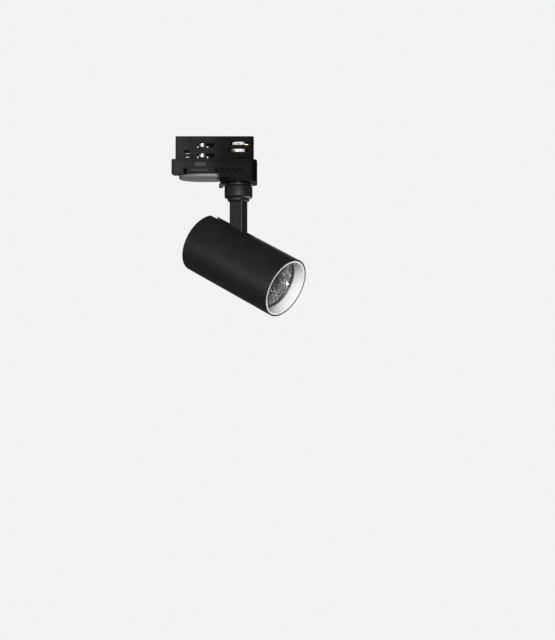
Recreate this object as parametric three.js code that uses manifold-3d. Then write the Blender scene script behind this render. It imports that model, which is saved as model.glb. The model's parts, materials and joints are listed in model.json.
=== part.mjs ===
// Track spotlight: a tubular spot head on a rectangular stem, hung from a three-phase track adapter.
// Millimetres, +Z up. The origin is the point where the pan axis meets the face that seats on the track.
// +X runs along the track. The adapter's upper shell stands above z = 0 and goes into the track.
import * as THREE from 'three';
import { mergeVertices } from 'three/addons/utils/BufferGeometryUtils.js';
import Module from 'manifold-3d';

const wasm = await Module();
wasm.setup();

// Driving dimensions
const GAP = 0.3;                       // gap kept between two pieces that touch
const REST_YAW = 32;                   // degrees the head is turned from the track towards the front
const REST_TILT = 27.1;                // degrees the head points below the horizontal

const ADAPTER_LEFT = -65.35;
const ADAPTER_RIGHT = 18.4;
const LEFT_CORNER = 3;                 // corner radii of the adapter's outline
const RIGHT_CORNER = 6.5;
const ADAPTER_HALF = 16;               // half the adapter's width across the track
const FLANGE_THICK = 2;
const HOUSING_TOP = -FLANGE_THICK - GAP;
const HOUSING_WALL = 1.6;
const LEFT_BLOCK_RIGHT = -53.4;
const LEFT_BLOCK_FRONT_BOTTOM = -14.2; // the left block's underside rises from the front to the back
const LEFT_BLOCK_BACK_BOTTOM = -11.3;
const NOTCH_RIGHT = -50;
const NOTCH_TOP = -9.1;
const MAIN_BOTTOM = -14.2;
const BLOCK_LEFT = -18.2;
const BLOCK_BOTTOM = -21.7;
const BLOCK_CAVITY_LEFT = -12.2;
const FLOOR_THICK = 2;
const WINDOWS = [[-47.2, -29.4], [-22.7, 4.4]];
const WINDOW_TOP = -9.1;
const WINDOW_BOTTOM = -13;
const POCKET = { left: -17.2, right: -9.9, top: -17.6, depth: 2.8 };
const UPPER_LEFT = -62;
const UPPER_RIGHT = 15;
const UPPER_HALF = 8.2;
const UPPER_TOP = 24;
const UPPER_WALL = 1.3;
const UPPER_CAVITY_LEFT = -56;

const LEVER_X = -35.5;                 // axis of the locking lever
const LEVER_HALF = 15.9;
const LEVER_REACH = 23.4;              // from the axis to the tip
const LEVER_RIGHT = BLOCK_LEFT - GAP;
const LEVER_CORNER = 4.5;              // corner radius of the lever's right end
const LEVER_TOP = MAIN_BOTTOM - GAP;
const LEVER_BOTTOM = -17.9;
const LEVER_CHAMFER = 1.2;
const HUB_RADIUS = 5;
const LOCK_SHAFT_RADIUS = 3.6;
const CAM_REACH = 11;
const CAM_HALF = 4;
const CAM_THICK = 3.4;
const CAM_LEVELS = [2.8, 13];

const NIPPLE_RADIUS = 5;
const NIPPLE_BORE = 3.2;
const NECK_RADIUS = 7.2;
const RING_RADIUS = 12.6;
const RING_TOP = -22.2;
const RING_BOTTOM = -24.4;
const TAB_LEFT = -19.3;
const TAB_RIGHT = -15.4;
const TAB_BOTTOM = -25.9;
const FINGER_ARC = 30;                 // degrees each selector finger takes
const SELECTOR_TURN = 90;              // degrees from the first phase to the third
const DRUM_RADIUS = 6.6;
const DRUM_TOP = 18.9;
const CONTACT_REACH = 10.2;
const PHASE_CONTACTS = [[-90, 17], [-135, 10], [0, 17]];  // angle in degrees and height of each blade

const COLLAR_RADIUS = 13.85;
const COLLAR_TOP = -24.9;
const COLLAR_BOTTOM = -35.5;
const CONE_RADIUS = 11;                // at the foot of the steep part
const CONE_BOTTOM = -37.1;
const RIM_RADIUS = 10.7;
const RIM_BOTTOM = -39.8;
const STOP_RADIUS = 10.4;              // radius of the pan stop pin's centre from the pan axis

const STEM_WIDE = 15.4;                  // along the tube
const STEM_THICK = 10.5;                 // along the tilt axle
const STEM_EDGE = 1.4;
const STEM_SCREW_Y = 7.4;              // either side of the pan axis
const STEM_FLANGE_TOP = -33.9;
const STEM_FLANGE_BOTTOM = -35.3;
const PIVOT_Z = -92.6;
const AXLE_RADIUS = 3;

const TUBE_RADIUS = 30;
const TUBE_LENGTH = 109.6;
const TUBE_WALL = 1.3;
const PIVOT_BEHIND_CENTRE = 10.15;
const PIVOT_ABOVE_AXIS = 6.5;
const SLOT_WIDTH = 11.4;
const SLOT_FRONT = 8.2;                // front end of the slot, ahead of the pivot
const CAP_SLOT_BOTTOM = -8.7;          // below the pivot
const INNER_RADIUS = TUBE_RADIUS - TUBE_WALL - GAP;
const AXIS_Z = -PIVOT_ABOVE_AXIS;      // tube axis in the head's own frame, whose origin is the pivot
const TUBE_FRONT = PIVOT_BEHIND_CENTRE + TUBE_LENGTH / 2;
const TUBE_REAR = PIVOT_BEHIND_CENTRE - TUBE_LENGTH / 2;

const BAFFLE_DEPTH = 10.8;
const BAFFLE_MOUTH = 26.8;
const BAFFLE_THROAT = 25.2;
const BEZEL_BORE = 24.9;
const LENS_THICK = 2;
const LENS_STEP = 1.3;
const REFLECTOR_DEPTH = 21.9;
const REFLECTOR_MOUTH = 24.6;
const REFLECTOR_THROAT = 8;
const REFLECTOR_WALL = 1;
const EAR_INNER = 6.6;
const EAR_THICK = 2;
const EAR_REACH = 8;
const EAR_OUTER = EAR_INNER + EAR_THICK;
const PLATE_TOP = -10;                 // top of the bracket's base plate, below the pivot
const SHEET = 1.5;
const SINK_REAR = 10.3;
const SINK_BASE = 19.8;
const SINK_FRONT = 25.3;
const BRACKET_SCREW = { y: 12.6, z: -2 };
const CAP_SCREW = { y: 10, z: -16 };
const BOARD_SCREW = { y: 12, z: 7 };   // from the tube axis
const LEAD_HOLE_Z = -26;               // where the leads cross from the driver to the light source
const DRIVER = { rear: -38.5, front: 6, half: 15, bottom: -29.6, top: -13.4, wall: 1.2 };
const BOARD_REAR = SINK_FRONT + GAP;
const HOLDER_REAR = BOARD_REAR + 1.3;
const REFLECTOR_REAR = 28.1;
const LENS_REAR = REFLECTOR_REAR + REFLECTOR_DEPTH + GAP;
const BEZEL_REAR = LENS_REAR + LENS_THICK + GAP;
const BAFFLE_REAR = TUBE_FRONT - BAFFLE_DEPTH;

const MATERIALS = {
  black_paint: [0x1b1b1c, 0.62, 0.2],
  black_plastic: [0x1e1e20, 0.55, 0],
  lever_plastic: [0x3a3a3c, 0.5, 0],
  white_plastic: [0xe8e8e6, 0.5, 0],
  steel: [0x9a9c9e, 0.35, 1],
  brass: [0xb98b4a, 0.35, 1],
  aluminium: [0xa8abae, 0.4, 1],
  mirror: [0xd8d8da, 0.12, 1],
  glass: [0xdfe6e8, 0.05, 0],
  phosphor: [0xd9b640, 0.6, 0],
  circuit: [0x2c5a38, 0.55, 0],
  cable: [0x202022, 0.7, 0],
};

const spotlight = new THREE.Group();
const swivelGroup = new THREE.Group();
const headGroup = new THREE.Group();
swivelGroup.rotation.z = THREE.MathUtils.degToRad(-REST_YAW);
headGroup.position.z = PIVOT_Z;
headGroup.rotation.y = THREE.MathUtils.degToRad(REST_TILT);
swivelGroup.add(headGroup);
spotlight.add(swivelGroup);

// Geometry helpers

// Signed volume of an indexed triangle mesh, to tell whether its faces point out.
function signedVolume(position, index) {
  const corner = [new THREE.Vector3(), new THREE.Vector3(), new THREE.Vector3()];
  let total = 0;
  for (let i = 0; i < index.length; i += 3) {
    corner.forEach((point, k) => point.fromBufferAttribute(position, index[i + k]));
    total += corner[0].dot(corner[1].clone().cross(corner[2])) / 6;
  }
  return total;
}

// Merges shared corners, drops empty triangles and turns the faces outwards.
function weld(geometry) {
  const bare = geometry.clone();
  bare.deleteAttribute('normal');
  bare.deleteAttribute('uv');
  const merged = mergeVertices(bare, 1e-4);
  const source = merged.index.array;
  const index = [];
  for (let i = 0; i < source.length; i += 3) {
    const [a, b, c] = source.slice(i, i + 3);
    if (a !== b && b !== c && c !== a) index.push(a, b, c);
  }
  if (signedVolume(merged.attributes.position, index) < 0) index.reverse();
  merged.setIndex(index);
  return merged;
}

function toSolid(geometry) {
  const welded = weld(geometry);
  const mesh = new wasm.Mesh({
    numProp: 3,
    vertProperties: new Float32Array(welded.attributes.position.array),
    triVerts: new Uint32Array(welded.index.array),
  });
  return new wasm.Manifold(mesh);
}

function toGeometry(solid) {
  const mesh = solid.getMesh();
  const geometry = new THREE.BufferGeometry();
  geometry.setAttribute('position', new THREE.BufferAttribute(mesh.vertProperties, 3));
  geometry.setIndex(new THREE.BufferAttribute(mesh.triVerts, 1));
  return geometry;
}

function join(...geometries) {
  return toGeometry(geometries.map(toSolid).reduce((sum, next) => sum.add(next)));
}

function cut(geometry, ...tools) {
  return toGeometry(tools.map(toSolid).reduce((rest, tool) => rest.subtract(tool), toSolid(geometry)));
}

function hull(points) {
  return toGeometry(wasm.Manifold.hull(points.map((point) => point.toArray())));
}

function common(first, second) {
  return toGeometry(toSolid(first).intersect(toSolid(second)));
}

function box(x0, x1, y0, y1, z0, z1) {
  const geometry = new THREE.BoxGeometry(x1 - x0, y1 - y0, z1 - z0);
  return geometry.translate((x0 + x1) / 2, (y0 + y1) / 2, (z0 + z1) / 2);
}

// Cylinder along Z at (x, y).
function post(radius, z0, z1, x = 0, y = 0, sides = 24) {
  const geometry = new THREE.CylinderGeometry(radius, radius, z1 - z0, sides);
  return geometry.rotateX(Math.PI / 2).translate(x, y, (z0 + z1) / 2);
}

// Cylinder along X at (y, z).
function rod(radius, x0, x1, y = 0, z = 0, sides = 24) {
  const geometry = new THREE.CylinderGeometry(radius, radius, x1 - x0, sides);
  return geometry.rotateZ(Math.PI / 2).translate((x0 + x1) / 2, y, z);
}

// Cylinder along Y at the pivot.
function pin(radius, y0, y1, sides = 24) {
  const geometry = new THREE.CylinderGeometry(radius, radius, y1 - y0, sides);
  return geometry.translate(0, (y0 + y1) / 2, 0);
}

// Solid of revolution about Z from [radius, z] corners, closed on itself or ending on the axis.
function turned(corners, sides = 32) {
  const open = corners[0][0] > 0;
  const profile = open ? [...corners, corners[0]] : corners;
  const points = profile.map(([radius, z]) => new THREE.Vector2(radius, z));
  return new THREE.LatheGeometry(points, sides).rotateX(Math.PI / 2);
}

// Solid of revolution about the tube axis from [radius, x] corners.
function turnedOnAxis(corners, sides = 48) {
  return turned(corners, sides).rotateY(Math.PI / 2).translate(0, 0, AXIS_Z);
}

// Rectangle with rounded corners; each radius is for the corners at that end of X.
function roundedRectangle(x0, x1, y0, y1, leftRadius, rightRadius) {
  const shape = new THREE.Shape();
  shape.moveTo(x0 + leftRadius, y0);
  shape.lineTo(x1 - rightRadius, y0);
  shape.absarc(x1 - rightRadius, y0 + rightRadius, rightRadius, -Math.PI / 2, 0);
  shape.absarc(x1 - rightRadius, y1 - rightRadius, rightRadius, 0, Math.PI / 2);
  shape.absarc(x0 + leftRadius, y1 - leftRadius, leftRadius, Math.PI / 2, Math.PI);
  shape.absarc(x0 + leftRadius, y0 + leftRadius, leftRadius, Math.PI, Math.PI * 1.5);
  return shape;
}

function extrude(shape, z0, z1, curveSegments = 3) {
  const options = { depth: z1 - z0, bevelEnabled: false, curveSegments };
  return new THREE.ExtrudeGeometry(shape, options).translate(0, 0, z0);
}

// Ring sector about Z, used for the selector's fingers and the slots that they run in.
function sector(inner, outer, middle, width, z0, z1) {
  const from = THREE.MathUtils.degToRad(middle - width / 2);
  const to = THREE.MathUtils.degToRad(middle + width / 2);
  const shape = new THREE.Shape();
  shape.absarc(0, 0, outer, from, to, false);
  shape.absarc(0, 0, inner, to, from, true);
  return extrude(shape, z0, z1, 3);
}

// Round lead along hand-placed points.
function lead(points, radius, steps = 24) {
  const route = new THREE.CatmullRomCurve3(points.map((point) => new THREE.Vector3(...point)));
  const section = new THREE.Shape();
  section.absarc(0, 0, radius, 0, Math.PI * 2);
  return new THREE.ExtrudeGeometry(section, { steps, curveSegments: 4, extrudePath: route });
}

function place(group, name, material, geometry) {
  const [color, roughness, metalness] = MATERIALS[material];
  const look = new THREE.MeshStandardMaterial({ color, roughness, metalness });
  const mesh = new THREE.Mesh(weld(geometry), look);
  mesh.name = name;
  group.add(mesh);
}

// Pan head screw along Z: the head's flat side is at z, and the shank runs from it by length.
function screw(radius, headRadius, headThick, z, length, x, y) {
  const away = -Math.sign(length);
  const headEnds = [z, z + away * headThick].sort((a, b) => a - b);
  const shankEnds = [z + away * headThick / 2, z + length].sort((a, b) => a - b);
  return join(post(headRadius, ...headEnds, x, y, 16), post(radius, ...shankEnds, x, y, 8));
}

// Adapter

// Outline shared by the flange of the upper shell and the top of the lower housing.
function adapterOutline(inset = 0) {
  return roundedRectangle(
    ADAPTER_LEFT + inset, ADAPTER_RIGHT - inset, -ADAPTER_HALF + inset, ADAPTER_HALF - inset,
    LEFT_CORNER - inset / 2, RIGHT_CORNER - inset / 2,
  );
}

const HOUSING_SCREWS = [[-59.5, 0], [13, 10.5], [13, -10.5]];

// Space below the left block, whose underside slopes across the adapter.
function belowLeftBlock() {
  const rise = LEFT_BLOCK_BACK_BOTTOM - LEFT_BLOCK_FRONT_BOTTOM;
  const middle = (LEFT_BLOCK_BACK_BOTTOM + LEFT_BLOCK_FRONT_BOTTOM) / 2;
  const space = box(-70, NOTCH_RIGHT, -25, 25, -20, 0);
  return space.rotateX(Math.atan2(rise, 2 * ADAPTER_HALF)).translate(0, 0, middle);
}

// Room that the corners of the lever's right end need when it turns.
function leverSweep() {
  const straight = Math.hypot(LEVER_RIGHT - LEVER_CORNER - LEVER_X, LEVER_HALF - LEVER_CORNER);
  return post(straight + LEVER_CORNER + 0.4, LEVER_BOTTOM - GAP, MAIN_BOTTOM, LEVER_X, 0, 64);
}

function lowerHousing() {
  const outline = extrude(adapterOutline(), BLOCK_BOTTOM, HOUSING_TOP);
  const belowMain = box(-70, BLOCK_LEFT, -20, 20, -30, MAIN_BOTTOM);
  const notches = [-1, 1].map((side) => {
    const y = [side * 12, side * 20].sort((a, b) => a - b);
    return box(LEFT_BLOCK_RIGHT, NOTCH_RIGHT, ...y, -30, NOTCH_TOP);
  });
  const inner = ADAPTER_HALF - HOUSING_WALL;
  const mainCavity = box(NOTCH_RIGHT + HOUSING_WALL, -8, -inner, inner, MAIN_BOTTOM + HOUSING_WALL, 5);
  const blockCavity = extrude(
    roundedRectangle(
      BLOCK_CAVITY_LEFT, ADAPTER_RIGHT - HOUSING_WALL, -inner, inner, 1, RIGHT_CORNER - HOUSING_WALL,
    ),
    BLOCK_BOTTOM + FLOOR_THICK, 5,
  );
  const windows = [-1, 1].flatMap((side) => WINDOWS.map(([x0, x1]) => {
    const y = [side * (ADAPTER_HALF - 0.8), side * 20].sort((a, b) => a - b);
    return box(x0, x1, ...y, WINDOW_BOTTOM, WINDOW_TOP);
  }));
  const shell = cut(
    outline, belowLeftBlock(), belowMain, ...notches, mainCavity, blockCavity, ...windows, leverSweep(),
  );
  const pocketBack = POCKET.depth - ADAPTER_HALF;
  const pocketWall = box(
    POCKET.left - 0.5, POCKET.right + 1.2, -inner - 0.5, pocketBack + 1.2,
    BLOCK_BOTTOM + 0.5, POCKET.top + 1.2,
  );
  const pocket = box(POCKET.left, POCKET.right, -20, pocketBack, -30, POCKET.top);
  const bosses = HOUSING_SCREWS.slice(1).map(([x, y]) => post(2.8, BLOCK_BOTTOM + 1, HOUSING_TOP, x, y, 12));
  const neck = post(NECK_RADIUS, RING_BOTTOM - 0.2, -13, 0, 0, 32);
  const whole = join(shell, ...bosses, neck, pocketWall);
  const slotArc = FINGER_ARC + SELECTOR_TURN + 4;
  const middle = 90 + SELECTOR_TURN / 2;
  const fingerSlots = [0, 180].map((turn) => sector(8.6, 10.9, middle + turn, slotArc, -25, -17));
  const shankHoles = HOUSING_SCREWS.map(([x, y]) => post(1.8, -25, 5, x, y, 12));
  const headHoles = [
    post(3.3, -25, LEFT_BLOCK_BACK_BOTTOM + 2.3, ...HOUSING_SCREWS[0], 16),
    ...HOUSING_SCREWS.slice(1).map(([x, y]) => post(2.5, -25, BLOCK_BOTTOM + 2.3, x, y, 16)),
  ];
  const nippleHole = post(NIPPLE_RADIUS + GAP, -30, 0, 0, 0, 32);
  const leverHole = post(HUB_RADIUS + GAP, -20, -5, LEVER_X, 0, 32);
  return cut(whole, pocket, ...fingerSlots, ...shankHoles, ...headHoles, nippleHole, leverHole);
}

// Side window of the upper shell: side -1 is the front wall, 1 the back wall.
function sideWindow(side, x0, x1, z0, z1) {
  const y = [side * 4, side * 12].sort((a, b) => a - b);
  return box(x0, x1, ...y, z0, z1);
}

function upperShell() {
  const flange = extrude(adapterOutline(), -FLANGE_THICK, 0);
  const tower = extrude(
    roundedRectangle(UPPER_LEFT, UPPER_RIGHT, -UPPER_HALF, UPPER_HALF, 2, 2), -1, UPPER_TOP, 3,
  );
  const inner = UPPER_HALF - UPPER_WALL;
  const cavity = box(UPPER_CAVITY_LEFT, UPPER_RIGHT - UPPER_WALL, -inner, inner, -3, UPPER_TOP - UPPER_WALL);
  const camWindows = CAM_LEVELS.flatMap((z) => [
    sideWindow(1, LEVER_X - 11.5, LEVER_X + 5, z - 0.5, z + CAM_THICK + 0.5),
    sideWindow(-1, LEVER_X - 5, LEVER_X + 11.5, z - 0.5, z + CAM_THICK + 0.5),
  ]);
  const phaseWindows = [
    sideWindow(-1, -9.8, 9.8, 8.4, 11.6),
    sideWindow(-1, -9.8, 9.8, 15.4, 18.6),
    sideWindow(1, -3.5, 9.8, 15.4, 18.6),
    sideWindow(1, -20, -12, 8.4, 11.6),
  ];
  const earthWindows = [-1, 1].map((side) => sideWindow(side, -53.5, -47.5, 3, 10));
  const selectorHole = post(DRUM_RADIUS + 3, -5, -0.9, 0, 0, 24);
  const screwHoles = HOUSING_SCREWS.map(([x, y]) => post(1.5, -5, x < 0 ? 4 : -0.6, x, y, 12));
  return cut(
    join(flange, tower), cavity, ...camWindows, ...phaseWindows, ...earthWindows, selectorHole, ...screwHoles,
  );
}

function housingScrew([x, y]) {
  const left = x < 0;
  const seat = (left ? LEFT_BLOCK_BACK_BOTTOM : BLOCK_BOTTOM) + 2;
  const tip = left ? 3.5 : -1.2;
  return screw(1.2, left ? 2.9 : 2.1, 1.6, seat, tip - seat, x, y);
}

// Strip bent to a U, with a sprung finger standing out of each side of the upper shell.
function earthContact() {
  const web = box(-53, -48, -6.4, 6.4, 0.6, 1.2);
  const legs = [-1, 1].flatMap((side) => {
    const profile = new THREE.Shape();
    profile.moveTo(side * 5.8, 0.6);
    profile.lineTo(side * 6.4, 0.6);
    profile.lineTo(side * 6.4, 3.6);
    profile.lineTo(side * 9.4, 6.3);
    profile.lineTo(side * 6.4, 9.2);
    profile.lineTo(side * 5.8, 9.2);
    profile.lineTo(side * 8.6, 6.3);
    profile.lineTo(side * 5.8, 3.8);
    const strip = new THREE.ExtrudeGeometry(profile, { depth: 5, bevelEnabled: false });
    return [strip.rotateX(Math.PI / 2).rotateZ(Math.PI / 2).translate(-53, 0, 0)];
  });
  return join(web, ...legs);
}

function neutralContact() {
  const leg = box(-17.5, -14.5, 5.2, 5.8, 1.5, 11.2);
  const finger = box(-17.5, -14.5, 5.2, 9.6, 9.4, 10.2);
  return join(leg, finger);
}

function terminalBlock() {
  const body = box(-27.5, -13, -9, 9, -12.3, -3.2);
  const entries = [-5.6, 0, 5.6].map((y) => rod(1.8, -16.5, -10, y, -7.5, 16));
  const screws = [-5.6, 0, 5.6].map((y) => post(1.6, -5, 0, -23, y, 16));
  return cut(body, ...entries, ...screws);
}

function nipple() {
  const outer = NIPPLE_RADIUS;
  return turned([[NIPPLE_BORE, -31.9], [outer, -31.9], [outer, -12.6], [NIPPLE_BORE, -12.6]]);
}

// Washer keyed to the nipple, with the tab that the pan stop pin meets.
function stopWasher() {
  const disc = post(8.5, -28.6, -27.7);
  const tab = box(-STOP_RADIUS - 0.5, -7, -0.5, 0.5, -28.6, -27.7);
  return cut(join(disc, tab), post(NIPPLE_RADIUS + GAP, -30, -26));
}

function swivelNut() {
  return cut(post(8.08, -31.5, -28.9, 0, 0, 6), post(NIPPLE_RADIUS + GAP, -33, -27));
}

function buildAdapter() {
  place(spotlight, 'adapter_lower_housing', 'black_plastic', lowerHousing());
  place(spotlight, 'adapter_upper_shell', 'black_plastic', upperShell());
  HOUSING_SCREWS.forEach((at, i) => place(spotlight, `housing_screw_${i + 1}`, 'steel', housingScrew(at)));
  place(spotlight, 'earth_contact', 'steel', earthContact());
  place(spotlight, 'neutral_contact', 'brass', neutralContact());
  place(spotlight, 'terminal_block', 'white_plastic', terminalBlock());
  const route = [[0, 0, -10.6], [0, 0, 4], [-0.3, 0, 15], [-2.2, 0, 20], [-5.5, 0, 21.2], [-9.6, 0, 19.5],
    [-12, 0, 13], [-16, 0, 4], [-18, 0, -2.9]];
  place(spotlight, 'adapter_leads', 'cable', lead(route, 1.2, 20));
  place(spotlight, 'nipple', 'steel', nipple());
  place(spotlight, 'stop_washer', 'steel', stopWasher());
  place(spotlight, 'swivel_nut', 'steel', swivelNut());
}

// Locking lever

// Outline of the lever: a square end with rounded corners on the right, a blunt round tip on the left.
function leverOutline(inset) {
  const half = LEVER_HALF - inset;
  const corner = LEVER_CORNER - inset;
  const cornerX = LEVER_RIGHT - LEVER_CORNER;
  const shape = new THREE.Shape();
  shape.moveTo(LEVER_X, -half);
  shape.lineTo(cornerX, -half);
  shape.absarc(cornerX, corner - half, corner, -Math.PI / 2, 0);
  shape.absarc(cornerX, half - corner, corner, 0, Math.PI / 2);
  shape.absellipse(LEVER_X, 0, LEVER_REACH - inset, half, Math.PI / 2, Math.PI * 1.5);
  return shape.getPoints(9);
}

// Paddle between the two outlines: full width down to the chamfer, then narrowing to its underside.
function leverPaddle() {
  const edge = leverOutline(0);
  const narrowed = leverOutline(LEVER_CHAMFER);
  const rings = [[edge, LEVER_TOP], [edge, LEVER_BOTTOM + LEVER_CHAMFER], [narrowed, LEVER_BOTTOM]];
  const corners = rings.flatMap(([ring, z]) => ring.map((point) => new THREE.Vector3(point.x, point.y, z)));
  return hull(corners);
}

function lockLever() {
  const paddle = leverPaddle();
  const hub = post(HUB_RADIUS, LEVER_BOTTOM + 1, -8, LEVER_X, 0);
  return cut(join(paddle, hub), post(2.5, -13.3, 0, LEVER_X, 0, 16));
}

function lockShaft() {
  return join(post(2.2, -13, -6, LEVER_X, 0, 16), post(LOCK_SHAFT_RADIUS, -7.7, 20, LEVER_X, 0));
}

// Double-ended bar that turns under the lips of the track.
function lockCam(z) {
  const straight = CAM_REACH - CAM_HALF;
  const shape = new THREE.Shape();
  shape.absarc(0, straight, CAM_HALF, 0, Math.PI);
  shape.absarc(0, -straight, CAM_HALF, Math.PI, Math.PI * 2);
  const bar = extrude(shape, z, z + CAM_THICK, 5).translate(LEVER_X, 0, 0);
  return cut(bar, post(LOCK_SHAFT_RADIUS + GAP - 0.1, z - 2, z + 8, LEVER_X, 0));
}

function lockClip() {
  return cut(post(7.2, -12.3, -11.4, LEVER_X, 0), post(HUB_RADIUS + GAP, -13, -10, LEVER_X, 0));
}

function buildLockLever() {
  place(spotlight, 'lock_lever', 'lever_plastic', lockLever());
  place(spotlight, 'lock_shaft', 'steel', lockShaft());
  CAM_LEVELS.forEach((z, i) => place(spotlight, `lock_cam_${i + 1}`, 'steel', lockCam(z)));
  place(spotlight, 'lock_clip', 'steel', lockClip());
}

// Phase selector

// Ring under the adapter with its finger tab and the two fingers that turn the drum.
function selectorRing() {
  const bore = 7.6;
  const ring = turned([
    [bore, RING_BOTTOM], [RING_RADIUS, RING_BOTTOM], [RING_RADIUS, RING_TOP], [bore, RING_TOP],
  ]);
  const arm = box(TAB_RIGHT - 1, -10, -2.6, 2.6, RING_BOTTOM, RING_TOP);
  const tab = box(TAB_LEFT, TAB_RIGHT, -3.4, 3.4, TAB_BOTTOM, RING_TOP);
  const fingers = [0, 180].map((turn) => (
    sector(9, 10.5, 90 + turn, FINGER_ARC - 2, RING_TOP - 1, -15.3)
  ));
  return join(ring, arm, tab, ...fingers);
}

function phaseDrum() {
  const body = turned([
    [7.6, -18.3], [11.6, -18.3], [11.6, -15.7], [9, -15.7], [9, -11], [DRUM_RADIUS, -11],
    [DRUM_RADIUS, DRUM_TOP], [5, DRUM_TOP], [5, -12.2], [7.6, -12.2],
  ]);
  const keyways = [0, 180].map((turn) => sector(8.8, 12, 90 + turn, FINGER_ARC + 4, -19, -14.9));
  const seats = PHASE_CONTACTS.map(([angle, z]) => contactBlade(angle, z, 0.25));
  return cut(body, ...keyways, ...seats);
}

// Flat blade that stands out of the drum at an angle; grow widens it all round.
function contactBlade(angle, z, grow = 0) {
  const blade = box(5.4 - grow, CONTACT_REACH, -1.5 - grow, 1.5 + grow, z - 0.5 - grow, z + 0.5 + grow);
  return blade.rotateZ(THREE.MathUtils.degToRad(angle));
}

function buildPhaseSelector() {
  place(spotlight, 'phase_selector_ring', 'black_plastic', selectorRing());
  place(spotlight, 'phase_drum', 'white_plastic', phaseDrum());
  PHASE_CONTACTS.forEach(([angle, z], i) => {
    place(spotlight, `phase_contact_${i + 1}`, 'brass', contactBlade(angle, z));
  });
}

// Swivel: collar, cone, stem and what is inside them, built in the turned frame

function swivelCollar() {
  const body = turned([
    [5.4, COLLAR_TOP], [13.3, COLLAR_TOP], [COLLAR_RADIUS, COLLAR_TOP - 0.4], [COLLAR_RADIUS, COLLAR_BOTTOM],
    [11.7, COLLAR_BOTTOM], [11.7, -27.4], [5.4, -27.4],
  ], 40);
  return cut(body, post(0.9, -28, -25.9, STOP_RADIUS, 0, 12));
}

function swivelCone() {
  const body = turned([
    [10.5, -33.6], [11.4, -33.6], [11.4, COLLAR_BOTTOM - GAP], [COLLAR_RADIUS - 0.2, COLLAR_BOTTOM - GAP],
    [CONE_RADIUS, CONE_BOTTOM], [RIM_RADIUS, RIM_BOTTOM + 0.8], [RIM_RADIUS - 0.8, RIM_BOTTOM],
    [4, RIM_BOTTOM], [4, STEM_FLANGE_BOTTOM - GAP], [10.5, STEM_FLANGE_BOTTOM - GAP],
  ], 40);
  const opening = extrude(stemSection(GAP), -45, -30, 2);
  const threads = [-1, 1].map((side) => post(1.5, -38.6, -30, 0, side * STEM_SCREW_Y, 10));
  return cut(body, opening, ...threads);
}

function stemSection(grow = 0) {
  const x = STEM_WIDE / 2 + grow;
  const y = STEM_THICK / 2 + grow;
  return roundedRectangle(-x, x, -y, y, STEM_EDGE + grow, STEM_EDGE + grow);
}

function stem() {
  const bar = extrude(stemSection(), PIVOT_Z, STEM_FLANGE_TOP, 2);
  const foot = pin(STEM_WIDE / 2, -STEM_THICK / 2, STEM_THICK / 2, 32).translate(0, 0, PIVOT_Z);
  const flange = post(10.2, STEM_FLANGE_BOTTOM, STEM_FLANGE_TOP);
  const channel = box(-4, 4, -3, 3, -81, -30);
  const exit = box(-10, 0, -3, 3, -81, -72);
  const axleHole = pin(AXLE_RADIUS + GAP, -10, 10).translate(0, 0, PIVOT_Z);
  const screwHoles = [-1, 1].map((side) => post(1.5, -37, -30, 0, side * STEM_SCREW_Y, 10));
  return cut(join(bar, foot, flange), channel, exit, axleHole, ...screwHoles);
}

function buildSwivel() {
  place(swivelGroup, 'swivel_collar', 'black_paint', swivelCollar());
  place(swivelGroup, 'swivel_cone', 'black_paint', swivelCone());
  place(swivelGroup, 'stop_pin', 'steel', post(0.6, -29.4, -26.2, STOP_RADIUS, 0, 12));
  place(swivelGroup, 'stem', 'black_paint', stem());
  [-1, 1].forEach((side, i) => {
    const geometry = screw(1.2, 2, 1.2, STEM_FLANGE_TOP + GAP, -4.2, 0, side * STEM_SCREW_Y);
    place(swivelGroup, `stem_screw_${i + 1}`, 'steel', geometry);
  });
  const route = [[0, 0, -11.4], [0, 0, -30], [0, 0, -50], [0, 0, -68], [-2, 0, -74], [-8.6, 0, -77]];
  place(swivelGroup, 'supply_cable', 'cable', lead(route, 2.2, 16));
}

// Head: everything in the frame of the tilt pivot, +X towards the light's mouth

function headTube() {
  const inner = TUBE_RADIUS - TUBE_WALL;
  const shell = turnedOnAxis([
    [inner, TUBE_REAR], [TUBE_RADIUS - 0.3, TUBE_REAR], [TUBE_RADIUS, TUBE_REAR + 0.3],
    [TUBE_RADIUS, TUBE_FRONT - 0.3], [TUBE_RADIUS - 0.3, TUBE_FRONT], [inner, TUBE_FRONT],
  ], 60);
  const half = SLOT_WIDTH / 2;
  const slot = box(TUBE_REAR - 5, SLOT_FRONT, -half, half, 10, 40);
  return cut(shell, slot);
}

function capScrewHole(side, x) {
  return rod(1.6, x - 5, x + 8, side * CAP_SCREW.y, CAP_SCREW.z, 12);
}

function rearCap() {
  const disc = turnedOnAxis([[0, TUBE_REAR + 0.4], [INNER_RADIUS - 0.6, TUBE_REAR + 0.4],
    [INNER_RADIUS, TUBE_REAR + 1], [INNER_RADIUS, TUBE_REAR + 2.9], [0, TUBE_REAR + 2.9]]);
  const half = SLOT_WIDTH / 2;
  const slot = box(TUBE_REAR - 5, TUBE_REAR + 8, -half, half, CAP_SLOT_BOTTOM, 40);
  const holes = [-1, 1].map((side) => capScrewHole(side, TUBE_REAR));
  return cut(disc, slot, ...holes);
}

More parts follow.
